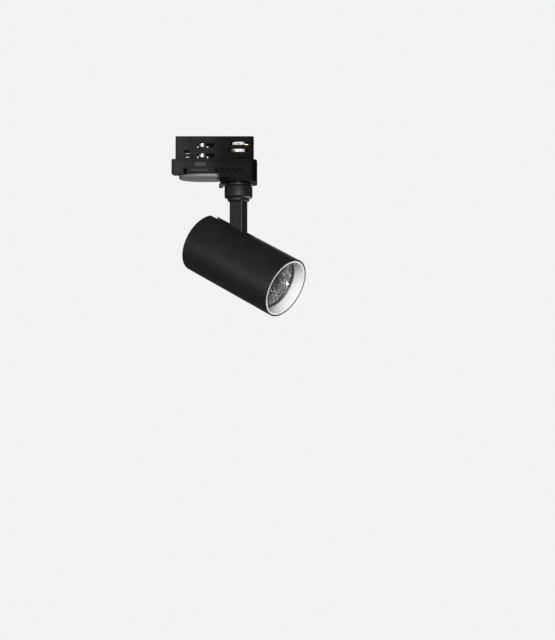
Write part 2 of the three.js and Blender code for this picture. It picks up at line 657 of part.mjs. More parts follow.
// Bent sheet that carries the axle, the driver and the rear cap, and is screwed to the heat sink.
function pivotBracket() {
  const rear = TUBE_REAR + 3.2;
  const front = 10;
  const flangeBack = front - 1.7;
  const base = box(rear, front, -14, 14, PLATE_TOP - SHEET, PLATE_TOP);
  const flange = box(flangeBack, front, -16.5, 16.5, PLATE_TOP - SHEET, EAR_REACH);
  const ears = [-1, 1].flatMap((side) => {
    const y = [side * EAR_INNER, side * (EAR_INNER + EAR_THICK)].sort((a, b) => a - b);
    return [pin(EAR_REACH, ...y), box(-EAR_REACH, EAR_REACH, ...y, PLATE_TOP - 0.5, 0),
      box(0, flangeBack + 0.5, ...y, PLATE_TOP - 0.5, EAR_REACH)];
  });
  const tail = box(rear, rear + SHEET, -14, 14, -21, PLATE_TOP - 0.5);
  const axleHoles = pin(AXLE_RADIUS + GAP, -20, 20);
  const flangeHoles = [-1, 1].map((side) => rod(1.6, 0, 15, side * BRACKET_SCREW.y, BRACKET_SCREW.z, 12));
  const tailHoles = [-1, 1].map((side) => capScrewHole(side, rear));
  const leadNotch = box(-24, -18, 9, 20, -15, 0);
  return cut(join(base, flange, ...ears, tail), axleHoles, ...flangeHoles, ...tailHoles, leadNotch);
}

function axleScrew() {
  return join(pin(AXLE_RADIUS, -EAR_OUTER - 1.5, EAR_OUTER + 4), pin(5, -EAR_OUTER - 3, -EAR_OUTER - GAP));
}

function axleNut() {
  const hex = pin(5.2, EAR_OUTER + GAP, EAR_OUTER + 3.3, 6);
  return cut(hex, pin(AXLE_RADIUS + GAP, 0, 20));
}

function frictionWasher(side) {
  const y = [side * (STEM_THICK / 2 + GAP), side * (EAR_INNER - GAP)].sort((a, b) => a - b);
  return cut(pin(6.6, ...y), pin(AXLE_RADIUS + GAP, -10, 10));
}

function boardScrewHole(side, radius) {
  return rod(radius, 21, 40, side * BOARD_SCREW.y, AXIS_Z + side * BOARD_SCREW.z, 12);
}

function heatSink() {
  const radius = INNER_RADIUS - 0.1;
  const base = rod(radius, SINK_BASE, SINK_FRONT, 0, AXIS_Z, 48);
  const fins = [];
  for (let i = -5; i <= 5; i += 1) {
    fins.push(box(SINK_REAR, SINK_BASE + 1, i * 4.9 - 0.9, i * 4.9 + 0.9, -60, 60));
  }
  const pads = [-1, 1].map((side) => {
    const y = side * BRACKET_SCREW.y;
    return box(SINK_REAR, SINK_BASE + 1, y - 3.6, y + 3.6, -6, 2);
  });
  const finned = common(join(...fins, ...pads), rod(radius, SINK_REAR, SINK_BASE + 1, 0, AXIS_Z, 48));
  const leadHole = rod(2.4, 0, 40, 0, LEAD_HOLE_Z, 12);
  const screwHoles = [-1, 1].map((side) => rod(1.5, 5, 18, side * BRACKET_SCREW.y, BRACKET_SCREW.z, 12));
  const boardHoles = [-1, 1].map((side) => boardScrewHole(side, 1.3));
  return cut(join(base, finned), leadHole, ...screwHoles, ...boardHoles);
}

// Screw along X at (y, z): the head's flat side is at x, and the shank runs from it by length.
function screwAlongX(radius, headRadius, headThick, x, length, y, z) {
  const away = -Math.sign(length);
  const headEnds = [x, x + away * headThick].sort((a, b) => a - b);
  const shankEnds = [x + away * headThick / 2, x + length].sort((a, b) => a - b);
  return join(rod(headRadius, ...headEnds, y, z, 16), rod(radius, ...shankEnds, y, z, 8));
}

function driverCase() {
  const { rear, front, half, bottom, top, wall } = DRIVER;
  const body = extrude(roundedRectangle(rear, front, -half, half, 2.5, 2.5), bottom, top, 3);
  const cavity = box(rear + wall, front - wall, -half + wall, half - wall, bottom + wall, top + 5);
  return cut(body, cavity, rod(1.9, 0, 20, 0, LEAD_HOLE_Z, 16));
}

function driverLid() {
  const { rear, front, half, top } = DRIVER;
  const plate = extrude(roundedRectangle(rear, front, -half, half, 2.5, 2.5), top + GAP, top + 1.5, 3);
  return cut(plate, post(1.9, top - 5, top + 8, -21, 11.6, 16));
}

// Board with its transformer, coil and two capacitors.
function driverBoard() {
  const board = box(-36.8, 4.2, -12.8, 12.8, -27.6, -26.4);
  const transformer = box(-26, -12, -7, 7, -27, -15.4);
  const coil = post(4, -27, -18, -6, -5, 20);
  const capacitors = [[-32, -7], [-32, 5]].map(([x, y]) => post(3.6, -27, -16, x, y, 20));
  return join(board, transformer, coil, ...capacitors);
}

function cobBoard() {
  return box(BOARD_REAR, BOARD_REAR + 1, -10, 10, AXIS_Z - 10, AXIS_Z + 10);
}

function cobHolder() {
  const ring = rod(17, HOLDER_REAR, REFLECTOR_REAR - GAP, 0, AXIS_Z, 32);
  const holes = [-1, 1].map((side) => boardScrewHole(side, 1.5));
  return cut(ring, rod(7.8, 20, 40, 0, AXIS_Z), ...holes);
}

// Bowl whose wall follows a parabola from the throat to the mouth, with a flange at the mouth.
function reflector() {
  const rows = 5;
  const mouth = REFLECTOR_REAR + REFLECTOR_DEPTH;
  const reach = REFLECTOR_MOUTH ** 2 - REFLECTOR_THROAT ** 2;
  const bowl = [];
  for (let i = 0; i <= rows; i += 1) {
    const x = REFLECTOR_REAR + (REFLECTOR_DEPTH * i) / rows;
    bowl.push([Math.sqrt(REFLECTOR_THROAT ** 2 + (reach * i) / rows), x]);
  }
  const back = bowl.slice(0, rows).reverse().map(([radius, x]) => [radius + REFLECTOR_WALL, x]);
  const flange = [[INNER_RADIUS - 0.1, mouth], [INNER_RADIUS - 0.1, mouth - 1.2], [25.8, mouth - 1.2]];
  return turnedOnAxis([...bowl, ...flange, ...back], 36);
}

// Disc with a raised middle that fills the bezel's bore.
function lens() {
  const face = LENS_REAR + LENS_THICK;
  return join(
    rod(INNER_RADIUS - 0.1, LENS_REAR, face, 0, AXIS_Z, 48),
    rod(BEZEL_BORE - GAP, LENS_REAR, face + LENS_STEP, 0, AXIS_Z, 48));
}

function lensBezel() {
  const front = BAFFLE_REAR - GAP;
  return turnedOnAxis([[BEZEL_BORE, BEZEL_REAR], [INNER_RADIUS, BEZEL_REAR], [INNER_RADIUS, front],
    [BEZEL_BORE + 0.4, front], [BEZEL_BORE, front - 0.4]]);
}

function baffleRing() {
  const front = TUBE_FRONT - 0.2;
  return turnedOnAxis([[BAFFLE_THROAT, BAFFLE_REAR], [INNER_RADIUS, BAFFLE_REAR], [INNER_RADIUS, front],
    [BAFFLE_MOUTH + 0.3, front], [BAFFLE_MOUTH, front - 0.3]]);
}

const LED_WIRE_ROUTE = [[5, 0, -26], [16, 0, -26], [25.5, 0, -26], [29.6, 0, -25], [30, 0, -21]];
const HEAD_WIRE_ROUTE = [[-12, 12, 6], [-17, 12, 2], [-21, 11.8, -5], [-21, 11.6, -16.5]];

function buildHead() {
  place(headGroup, 'head_tube', 'black_paint', headTube());
  place(headGroup, 'rear_cap', 'black_paint', rearCap());
  place(headGroup, 'pivot_bracket', 'steel', pivotBracket());
  place(headGroup, 'axle_screw', 'steel', axleScrew());
  place(headGroup, 'axle_nut', 'steel', axleNut());
  place(headGroup, 'heat_sink', 'aluminium', heatSink());
  [-1, 1].forEach((side, i) => {
    const n = i + 1;
    place(headGroup, `friction_washer_${n}`, 'steel', frictionWasher(side));
    const cap = screwAlongX(1.3, 2.4, 1.3, TUBE_REAR + 0.1, 6, side * CAP_SCREW.y, CAP_SCREW.z);
    place(headGroup, `rear_cap_screw_${n}`, 'steel', cap);
    const bracket = screwAlongX(1.2, 2.3, 1.2, 8, 9, side * BRACKET_SCREW.y, BRACKET_SCREW.z);
    place(headGroup, `bracket_screw_${n}`, 'steel', bracket);
    const boardZ = AXIS_Z + side * BOARD_SCREW.z;
    const board = screwAlongX(1, 1.9, 0.8, REFLECTOR_REAR, -6, side * BOARD_SCREW.y, boardZ);
    place(headGroup, `cob_screw_${n}`, 'steel', board);
  });
  place(headGroup, 'driver_case', 'white_plastic', driverCase());
  place(headGroup, 'driver_lid', 'white_plastic', driverLid());
  place(headGroup, 'driver_board', 'circuit', driverBoard());
  place(headGroup, 'cob_board', 'aluminium', cobBoard());
  place(headGroup, 'led_emitter', 'phosphor', rod(7.2, HOLDER_REAR, HOLDER_REAR + 0.6, 0, AXIS_Z, 32));
  place(headGroup, 'cob_holder', 'white_plastic', cobHolder());
  place(headGroup, 'reflector', 'mirror', reflector());
  place(headGroup, 'lens', 'glass', lens());
  place(headGroup, 'lens_bezel', 'black_plastic', lensBezel());
  place(headGroup, 'baffle_ring', 'white_plastic', baffleRing());
  place(headGroup, 'led_wires', 'cable', lead(LED_WIRE_ROUTE, 1.4, 12));
  place(headGroup, 'head_wires', 'cable', lead(HEAD_WIRE_ROUTE, 1.5, 10));
}

buildAdapter();
buildLockLever();
buildPhaseSelector();
buildSwivel();
buildHead();

export default spotlight;
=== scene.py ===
"""Track spotlight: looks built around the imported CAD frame. Metres, +Z up, the CAD's own frame.

Local work is in millimetres, in the frame that a matrix describes: ADAPTER for the fixed part,
SWIVEL for the part that pans, and HEAD for the part that tilts."""
import json
import math

import bmesh
import bpy
from mathutils import Matrix, Vector


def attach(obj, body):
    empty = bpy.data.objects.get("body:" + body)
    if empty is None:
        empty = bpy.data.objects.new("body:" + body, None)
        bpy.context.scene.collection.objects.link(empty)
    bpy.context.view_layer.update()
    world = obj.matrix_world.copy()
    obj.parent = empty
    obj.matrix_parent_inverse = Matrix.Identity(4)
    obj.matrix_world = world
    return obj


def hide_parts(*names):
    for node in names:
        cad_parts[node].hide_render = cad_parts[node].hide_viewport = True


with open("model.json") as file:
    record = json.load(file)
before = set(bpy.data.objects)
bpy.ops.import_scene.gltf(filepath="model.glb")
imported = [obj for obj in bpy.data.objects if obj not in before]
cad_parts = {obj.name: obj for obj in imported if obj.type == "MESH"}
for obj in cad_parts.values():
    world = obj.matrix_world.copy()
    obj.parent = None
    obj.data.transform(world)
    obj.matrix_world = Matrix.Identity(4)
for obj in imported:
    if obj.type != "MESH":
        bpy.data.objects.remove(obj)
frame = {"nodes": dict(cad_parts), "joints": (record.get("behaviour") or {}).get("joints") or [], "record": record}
NODES = frame["nodes"]
JOINTS = {joint["name"]: joint for joint in frame["joints"]}
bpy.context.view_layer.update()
BODY_OF = {
    node: body
    for body, members in frame["record"]["behaviour"]["bodies"].items()
    for node in members
}
SLOT_OF = {part["node"]: part["material_slot"] for part in frame["record"]["subparts"]}
MM = 0.001
SELECTOR_TONE = (0.009, 0.009, 0.009)  # the selector ring is glossier than the housing
BEZEL_TONE = (0.075, 0.068, 0.066)  # the ring round the lens
RECESS_PAINTED_SHADE_TONE = (0.002, 0.002, 0.002)  # near-black painted shade on the backs of the adapter's deep hollows
LOOK_OF = {"phase_selector_ring": "selector_gloss"}  # nodes whose finish is a variant of their slot
CUTS_IN = {"phase_selector_ring": [((0.9, -20, -26), (1.9, -11.2, -21))]}  # boxes cut from nodes
REBUILT = {  # nodes whose shape is made anew; all others are copied with rounded edges
    "head_tube", "rear_cap", "baffle_ring", "lens_bezel", "lens", "reflector", "swivel_collar", "swivel_cone",
}
# Hollows in the adapter's sides, as left, right, bottom and top in millimetres
NOTCH = (-53.4, -50.0, -14.0, -9.1)
RIGHT_WINDOW = (-22.7, 4.4, -13.0, -9.1)
LEFT_SILL = (-47.2, -29.4, -13.0, -12.4)  # painted shade along the lower edge of the left window
POCKET = (-17.2, -9.9, -21.6, -17.6)
NOTCH_BACK = 12.15  # how far from the middle each hollow's back lies
WINDOW_BACK = 15.35
POCKET_BACK = 13.3
LINER_THICK = 0.25
PAD_BACK = 15.8  # pads and edge ribs start just under the housing's skin
STAND_PROUD = 0.4  # how far ribs, studs and pads rise from their backs
LABEL_TONE = (0.038, 0.038, 0.039)  # pads and studs moulded into the adapter, paler than its skin
RIB_TONE = (0.06, 0.06, 0.061)  # ribs in the left window, paler than the housing

# The head's own frame: origin at the tilt pivot, +X towards the light's mouth, +Z up out of the slot.
PIVOT = Vector(JOINTS["tilt"]["pos_m"])
TILT_AXIS = Vector(JOINTS["tilt"]["axis"])
YAW = -math.atan2(TILT_AXIS.x, TILT_AXIS.y)
REST_TILT = math.radians(-JOINTS["tilt"]["range_deg"][0])
ADAPTER = Matrix.Identity(4)
SWIVEL = Matrix.Rotation(YAW, 4, "Z")
HEAD = Matrix.Translation(PIVOT) @ SWIVEL @ Matrix.Rotation(REST_TILT, 4, "Y")
UPRIGHT = Matrix.Rotation(-math.pi / 2, 4, "Y")  # turns a lathe's X axis into Z


# ---------------------------------------------------------------- measuring the frame

def local_box(node, matrix=ADAPTER):
    """Lowest and highest corners of a CAD node in the frame that matrix describes, in millimetres."""
    inverse = matrix.inverted()
    points = [inverse @ v.co / MM for v in NODES[node].data.vertices]
    low = Vector([min(p[i] for p in points) for i in range(3)])
    high = Vector([max(p[i] for p in points) for i in range(3)])
    return low, high


# ---------------------------------------------------------------- camera, stage, light

def build_camera():
    data = bpy.data.cameras.new("camera")
    data.lens = 75.6
    data.sensor_width = 36
    data.clip_end = 20
    camera = bpy.data.objects.new("camera", data)
    bpy.context.scene.collection.objects.link(camera)
    camera.location = (0.0385, -1.3176, -0.2360)
    camera.rotation_euler = (math.radians(90 + 3.44), 0, 0)
    bpy.context.scene.camera = camera


def stage_material(seen, lighting):
    """Even pale tone where the camera sees it, and a weaker glow for the light that it throws."""
    material = bpy.data.materials.new("stage_pale")
    material.use_nodes = True
    nodes, links = material.node_tree.nodes, material.node_tree.links
    nodes.remove(nodes["Principled BSDF"])
    shown = nodes.new("ShaderNodeEmission")
    shown.inputs["Color"].default_value = (seen, seen, seen, 1)
    thrown = nodes.new("ShaderNodeEmission")
    thrown.inputs["Color"].default_value = (lighting, lighting, lighting, 1)
    path = nodes.new("ShaderNodeLightPath")
    mix = nodes.new("ShaderNodeMixShader")
    links.new(path.outputs["Is Camera Ray"], mix.inputs["Fac"])
    links.new(thrown.outputs["Emission"], mix.inputs[1])
    links.new(shown.outputs["Emission"], mix.inputs[2])
    links.new(mix.outputs["Shader"], nodes["Material Output"].inputs["Surface"])
    return material


STAGE_SEEN = 0.89
STAGE_THROWN = 0.09


def build_stage():
    """Pale floor that rises in a cove to a pale back wall."""
    floor_z, wall_y, cove, half = -0.78, 1.5, 0.5, 4.0
    profile = [(-3.0, floor_z), (wall_y - cove, floor_z)]
    steps = 16
    for i in range(1, steps + 1):
        angle = math.pi / 2 * i / steps
        profile.append((wall_y - cove + cove * math.sin(angle), floor_z + cove - cove * math.cos(angle)))
    profile.append((wall_y, 3.0))
    mesh = bpy.data.meshes.new("stage")
    verts = [(x, y, z) for y, z in profile for x in (-half, half)]
    faces = [(2 * i, 2 * i + 1, 2 * i + 3, 2 * i + 2) for i in range(len(profile) - 1)]
    mesh.from_pydata(verts, [], faces)
    for polygon in mesh.polygons:
        polygon.use_smooth = True
    stage = bpy.data.objects.new("stage", mesh)
    bpy.context.scene.collection.objects.link(stage)
    mesh.materials.append(stage_material(STAGE_SEEN, STAGE_THROWN))


def area_light(name, place, target, size, power, tint=(1, 1, 1)):
    data = bpy.data.lights.new(name, "AREA")
    data.shape = "RECTANGLE"
    data.size, data.size_y = size
    data.energy = power
    data.color = tint
    light = bpy.data.objects.new(name, data)
    bpy.context.scene.collection.objects.link(light)
    light.location = place
    direction = Vector(target) - Vector(place)
    light.rotation_mode = "QUATERNION"
    light.rotation_quaternion = direction.to_track_quat("-Z", "Y")
    return light


def build_light():
    world = bpy.data.worlds.new("studio")
    bpy.context.scene.world = world
    world.use_nodes = True
    nodes, links = world.node_tree.nodes, world.node_tree.links
    dim = nodes["Background"]
    dim.inputs["Color"].default_value = (0.86, 0.87, 0.88, 1)
    dim.inputs["Strength"].default_value = 0.10
    pale = nodes.new("ShaderNodeBackground")
    pale.inputs["Color"].default_value = (STAGE_SEEN, STAGE_SEEN, STAGE_SEEN, 1)
    pale.inputs["Strength"].default_value = 1.0
    path = nodes.new("ShaderNodeLightPath")
    mix = nodes.new("ShaderNodeMixShader")
    links.new(path.outputs["Is Camera Ray"], mix.inputs["Fac"])
    links.new(dim.outputs["Background"], mix.inputs[1])
    links.new(pale.outputs["Background"], mix.inputs[2])
    links.new(mix.outputs["Shader"], nodes["World Output"].inputs["Surface"])
    area_light("key", (-1.0, -0.8, -0.25), (0.0, 0, -0.1), (0.5, 0.5), 3.1)
    area_light("low", (-0.1, -0.6, -0.5), (0.05, 0, -0.14), (0.5, 0.3), 0.4)
    area_light("front", (0.05, -1.9, 0.0), (0, 0, -0.08), (1.0, 1.0), 35)
    area_light("back_fill", (0.1, 1.4, 0.3), (0, 0, -0.06), (0.9, 0.7), 3)
    mouth = area_light("mouth", (0.7, -1.0, -0.52), (0.05, 0, -0.14), (1.0, 0.4), 6.6)
    mouth.visible_glossy = False  # it lights the baffle but leaves no white spots in the reflector
    mouth.visible_transmission = False
    area_light("below", (0.25, 0.6, -0.72), (-0.03, 0, -0.02), (0.6, 0.4), 7)


# ---------------------------------------------------------------- materials

class Surface:
    """A Principled material with helpers for the nodes that give it grain, wear and relief."""

    def __init__(self, name, color, roughness, metallic=0.0, specular=0.5):
        self.material = bpy.data.materials.new(name)
        self.material.use_nodes = True
        self.nodes = self.material.node_tree.nodes
        self.links = self.material.node_tree.links
        self.shader = self.nodes["Principled BSDF"]
        self.color = (*color, 1)
        self.set("Base Color", self.color)
        self.set("Roughness", roughness)
        self.set("Metallic", metallic)
        self.set("Specular IOR Level", specular)
        self.place = self.nodes.new("ShaderNodeTexCoord").outputs["Object"]
        self.relief = None

    def set(self, socket, value):
        self.shader.inputs[socket].default_value = value

    def stretched(self, scale):
        mapping = self.nodes.new("ShaderNodeMapping")
        mapping.inputs["Scale"].default_value = scale
        self.links.new(self.place, mapping.inputs["Vector"])
        return mapping.outputs["Vector"]

    def noise(self, scale, detail=3.0, roughness=0.5, stretch=(1, 1, 1)):
        texture = self.nodes.new("ShaderNodeTexNoise")
        texture.inputs["Scale"].default_value = scale
        texture.inputs["Detail"].default_value = detail
        texture.inputs["Roughness"].default_value = roughness
        self.links.new(self.stretched(stretch), texture.inputs["Vector"])
        return texture.outputs["Fac"]

    def cells(self, scale, feature="F1"):
        texture = self.nodes.new("ShaderNodeTexVoronoi")
        texture.feature = feature
        texture.inputs["Scale"].default_value = scale
        self.links.new(self.place, texture.inputs["Vector"])
        return texture

    def ramp(self, factor, stops):
        ramp = self.nodes.new("ShaderNodeValToRGB")
        elements = ramp.color_ramp.elements
        while len(elements) < len(stops):
            elements.new(0.5)
        for element, (position, color) in zip(elements, stops):
            element.position = position
            element.color = color if len(color) == 4 else (*color, 1)
        self.links.new(factor, ramp.inputs["Fac"])
        return ramp.outputs["Color"]

    def shades(self, factor, low, high, start=0.3, stop=0.7):
        """Base colour times low to high as factor goes from start to stop."""
        colors = [tuple(min(1, c * k) for c in self.color[:3]) for k in (low, high)]
        return self.ramp(factor, [(start, colors[0]), (stop, colors[1])])

    def vary_roughness(self, factor, low, high):
        remap = self.nodes.new("ShaderNodeMapRange")
        remap.inputs["From Min"].default_value = 0.3
        remap.inputs["From Max"].default_value = 0.7
        remap.inputs["To Min"].default_value = low
        remap.inputs["To Max"].default_value = high
        self.links.new(factor, remap.inputs["Value"])
        self.links.new(remap.outputs["Result"], self.shader.inputs["Roughness"])

    def wear(self, color, worn, radius_mm=0.25):
        """Blends towards the worn colour along edges, where a rounded normal leaves the true one."""
        rounded = self.nodes.new("ShaderNodeBevel")
        rounded.samples = 4
        rounded.inputs["Radius"].default_value = radius_mm * MM
        true = self.nodes.new("ShaderNodeNewGeometry")
        compare = self.nodes.new("ShaderNodeVectorMath")
        compare.operation = "DOT_PRODUCT"
        self.links.new(rounded.outputs["Normal"], compare.inputs[0])
        self.links.new(true.outputs["Normal"], compare.inputs[1])
        amount = self.ramp(compare.outputs["Value"], [(0.85, (0.7, 0.7, 0.7)), (0.99, (0, 0, 0))])
        mix = self.nodes.new("ShaderNodeMix")
        mix.data_type = "RGBA"
        self.links.new(amount, mix.inputs["Factor"])
        self.links.new(color, mix.inputs["A"])
        mix.inputs["B"].default_value = (*worn, 1)
        return mix.outputs["Result"]

    def paint(self, color):
        self.links.new(color, self.shader.inputs["Base Color"])

    def bump(self, height, strength, distance_mm):
        bump = self.nodes.new("ShaderNodeBump")
        bump.inputs["Strength"].default_value = strength
        bump.inputs["Distance"].default_value = distance_mm * MM
        self.links.new(height, bump.inputs["Height"])
        if self.relief:
            self.links.new(self.relief, bump.inputs["Normal"])
        self.relief = bump.outputs["Normal"]
        self.links.new(self.relief, self.shader.inputs["Normal"])


def powder_coat(name, color):
    """Matte powder coat: fine orange peel, slight cloudiness, a trace of wear on sharp edges."""
    made = Surface(name, color, 0.5, specular=0.36)
    cloud = made.noise(60, 2)
    made.paint(made.wear(made.shades(cloud, 0.65, 0.95), [c * 1.4 for c in color]))
    made.vary_roughness(made.noise(900, 3), 0.43, 0.52)
    made.bump(made.noise(2600, 2), 0.35, 0.03)
    made.bump(made.noise(420, 2), 0.12, 0.05)
    return made.material


def moulded_plastic(name, color, roughness=0.42, grain=1800, specular=0.5, tone=(0.88, 1.15)):
    """Spark-eroded mould texture with faint flow marks and edges polished by handling."""
    made = Surface(name, color, roughness, specular=specular)
    flow = made.noise(35, 2, stretch=(0.3, 1, 1))
    made.paint(made.wear(made.shades(flow, *tone), [min(1, c * 1.7) for c in color]))
    made.vary_roughness(made.noise(700, 3), roughness - 0.05, roughness + 0.06)
    made.bump(made.noise(grain, 3), 0.3, 0.03)
    return made.material


def adapter_moulding_with_painted_light(name, color):
    """Glass-filled black plastic with flow marks and worn edges; its colour carries painted shade at the block's
    end and painted light towards the lever's end of the adapter.
    """
    made = Surface(name, color, 0.5, specular=0.05)
    along = made.nodes.new("ShaderNodeSeparateXYZ")
    made.links.new(made.place, along.inputs["Vector"])
    blend = made.nodes.new("ShaderNodeMapRange")
    blend.inputs["From Min"].default_value = -0.016
    blend.inputs["From Max"].default_value = -0.060
    made.links.new(along.outputs["X"], blend.inputs["Value"])
    # painted light and shade along X: 0.16 of the base colour at the block's end, rising to 2.1 times at the
    # lever's end
    stops = ((0, 0.16), (0.32, 1.1), (0.75, 1.2), (1, 2.1))
    tone = made.ramp(blend.outputs["Result"], [(place, [c * k for c in color]) for place, k in stops])
    flow = made.ramp(made.noise(120, 4, stretch=(0.25, 1, 1)), [(0.3, (0.75, 0.75, 0.75)), (0.7, (1, 1, 1))])
    mix = made.nodes.new("ShaderNodeMix")
    mix.data_type = "RGBA"
    mix.blend_type = "MULTIPLY"
    mix.inputs["Factor"].default_value = 1.0
    made.links.new(tone, mix.inputs["A"])
    made.links.new(flow, mix.inputs["B"])
    made.paint(made.wear(mix.outputs["Result"], [c * 2 for c in color]))
    made.vary_roughness(made.noise(700, 3), 0.42, 0.58)
    made.bump(made.noise(1800, 3), 0.3, 0.03)
    return made.material


def plated_steel(name, color):
    """Zinc plated steel: fine drawn lines, cloudy passivation and brighter edges."""
    made = Surface(name, color, 0.34, metallic=1.0)
    cloud = made.noise(140, 3)
    tinted = made.ramp(cloud, [
        (0.3, [c * 0.8 for c in color]), (0.55, color), (0.75, (color[0] * 1.05, color[1], color[2] * 0.86)),
    ])
    made.paint(made.wear(tinted, [min(1, c * 1.35) for c in color]))
    made.vary_roughness(made.noise(500, 4, stretch=(1, 1, 14)), 0.26, 0.44)
    made.bump(made.noise(900, 3, stretch=(1, 1, 20)), 0.12, 0.02)
    return made.material


def spring_brass(name, color):
    made = Surface(name, color, 0.3, metallic=1.0)
    tarnish = made.noise(220, 4)
    made.paint(made.ramp(tarnish, [(0.3, (color[0] * 0.6, color[1] * 0.55, color[2] * 0.5)), (0.6, color)]))
    made.vary_roughness(made.noise(600, 3), 0.22, 0.42)
    made.bump(made.noise(1200, 2, stretch=(1, 8, 1)), 0.1, 0.02)
    return made.material


def extruded_aluminium(name, color):
    made = Surface(name, color, 0.38, metallic=1.0)
    lines = made.noise(700, 3, stretch=(16, 1, 1))
    made.paint(made.shades(lines, 0.86, 1.1))
    made.vary_roughness(lines, 0.3, 0.46)
    made.bump(lines, 0.15, 0.02)
    return made.material


def satin_white_paint(name, color):
    """White lacquer with fine orange peel and a little dust toning."""
    made = Surface(name, color, 0.42, specular=0.4)
    made.paint(made.shades(made.noise(45, 3), 0.965, 1.0))
    made.vary_roughness(made.noise(500, 2), 0.38, 0.48)
    made.bump(made.noise(1500, 2), 0.2, 0.02)
    return made.material


def metallised_mirror(name, color):
    """Vacuum-metallised plastic: warm grey, with tiny ripples and haze."""
    made = Surface(name, color, 0.14, metallic=1.0)
    haze = made.noise(260, 4)
    made.paint(made.ramp(haze, [(0.35, [c * 0.45 for c in color]), (0.62, [c * 0.82 for c in color])]))
    made.vary_roughness(haze, 0.13, 0.21)
    made.bump(made.noise(500, 3), 0.12, 0.3)
    return made.material


def clear_lens(name):
    made = Surface(name, (1, 1, 1), 0.02, specular=0.5)
    made.set("Transmission Weight", 1.0)
    made.set("IOR", 1.47)
    made.paint(made.ramp(made.noise(30, 2), [(0.3, (0.97, 0.955, 0.955)), (0.7, (0.99, 0.98, 0.98))]))
    made.vary_roughness(made.noise(90, 3), 0.0, 0.02)
    return made.material


def phosphor_coat(name, color):
    """Yellow silicone over rows of LED chips, which show as slightly darker squares."""
    made = Surface(name, color, 0.35)
    grid = made.cells(620, "DISTANCE_TO_EDGE")
    made.paint(made.ramp(grid.outputs["Distance"], [(0.02, [c * 1.1 for c in color]), (0.2, color)]))
    made.vary_roughness(made.noise(300, 2), 0.28, 0.42)
    made.bump(made.noise(500, 2), 0.2, 0.05)
    return made.material


def solder_resist(name, color):
    """Green board with paler copper tracks under the resist."""
    made = Surface(name, color, 0.3)
    tracks = made.cells(160, "DISTANCE_TO_EDGE")
    made.paint(made.ramp(tracks.outputs["Distance"], [(0.05, [c * 1.8 for c in color]), (0.09, color)]))
    made.vary_roughness(made.noise(300, 2), 0.25, 0.4)
    made.bump(tracks.outputs["Distance"], 0.2, 0.05)
    return made.material


def cable_sheath(name, color):
    made = Surface(name, color, 0.5)
    made.paint(made.shades(made.noise(80, 2), 0.8, 1.3))
    made.vary_roughness(made.noise(400, 2), 0.42, 0.6)
    made.bump(made.noise(900, 2), 0.25, 0.03)
    return made.material


def build_materials():
    color_of = {entry["slot"]: entry["base_color"][:3] for entry in frame["record"]["materials"]}
    makers = {
        "black_paint": powder_coat,
        "adapter_plastic": adapter_moulding_with_painted_light,
        "bezel_plastic": moulded_plastic,
        "baffle_white": satin_white_paint,
        "white_plastic": moulded_plastic,
        "steel": plated_steel,
        "brass": spring_brass,
        "sink_aluminium": extruded_aluminium,
        "reflector_mirror": metallised_mirror,
        "phosphor": phosphor_coat,
        "circuit_board": solder_resist,
        "cable": cable_sheath,
    }
    made = {slot: maker(slot, color_of[slot]) for slot, maker in makers.items()}
    made["lens_glass"] = clear_lens("lens_glass")
    made["lever_plastic"] = moulded_plastic("lever_plastic", color_of["lever_plastic"], tone=(1.02, 1.28))
    made["selector_gloss"] = moulded_plastic("selector_gloss", SELECTOR_TONE, 0.4, specular=0.22)
    made["bezel_satin"] = moulded_plastic("bezel_satin", BEZEL_TONE, 0.5)
    # painted shade: near-black finish for the sheets at the backs of the adapter's hollows
    made["recess_painted_shade"] = moulded_plastic("recess_painted_shade", RECESS_PAINTED_SHADE_TONE, 0.7, specular=0.02)
    made["window_rib"] = moulded_plastic("window_rib", RIB_TONE, 0.5, specular=0.1)
    made["adapter_label"] = moulded_plastic("adapter_label", LABEL_TONE, 0.5, specular=0.1)
    return made


# ---------------------------------------------------------------- mesh helpers

def new_object(name, mesh):
    obj = bpy.data.objects.new(name, mesh)
    bpy.context.scene.collection.objects.link(obj)
    return obj


def from_bmesh(name, bm, matrix):
    """Object at the origin whose mesh is bm, taken from local millimetres to metres."""
    bmesh.ops.transform(bm, matrix=matrix @ Matrix.Scale(MM, 4), verts=bm.verts)
    mesh = bpy.data.meshes.new(name)
    bm.to_mesh(mesh)
    bm.free()
    return new_object(name, mesh)


def lathe_bmesh(profile, segments):
    """Solid of revolution about X from [radius, x] corners; closed on itself, or ending on the axis."""
    bm = bmesh.new()
    closed = profile[0][0] > 0
    rings = []
    for radius, x in profile:
        if radius == 0:
            rings.append([bm.verts.new((x, 0, 0))] * segments)
            continue
        angles = [2 * math.pi * i / segments for i in range(segments)]
        rings.append([bm.verts.new((x, radius * math.cos(a), radius * math.sin(a))) for a in angles])
    pairs = list(zip(rings, rings[1:] + rings[:1])) if closed else list(zip(rings, rings[1:]))
    for first, second in pairs:
        for i in range(segments):
            j = (i + 1) % segments
            corners = list(dict.fromkeys([first[i], first[j], second[j], second[i]]))
            if len(corners) > 2:
                bm.faces.new(corners)
    bmesh.ops.recalc_face_normals(bm, faces=bm.faces)
    return bm


def lathe(name, profile, matrix, segments=128):
    return from_bmesh(name, lathe_bmesh(profile, segments), matrix)


def block_bmesh(low, high):
    bm = bmesh.new()
    bmesh.ops.create_cube(bm, size=1)
    size = Vector(high) - Vector(low)
    middle = (Vector(high) + Vector(low)) / 2
    bmesh.ops.scale(bm, vec=size, verts=bm.verts)
    bmesh.ops.translate(bm, vec=middle, verts=bm.verts)
    return bm


def merge_bmesh(parts):
    """One bmesh that holds every part."""
    whole = bmesh.new()
    for part in parts:
        mesh = bpy.data.meshes.new("part")
        part.to_mesh(mesh)
        part.free()
        whole.from_mesh(mesh)
        bpy.data.meshes.remove(mesh)
    return whole


def bake_modifiers(obj):
    """Replaces the object's mesh with what its modifiers make of it."""
    graph = bpy.context.evaluated_depsgraph_get()
    mesh = bpy.data.meshes.new_from_object(obj.evaluated_get(graph))
    obj.modifiers.clear()
    obj.data = mesh


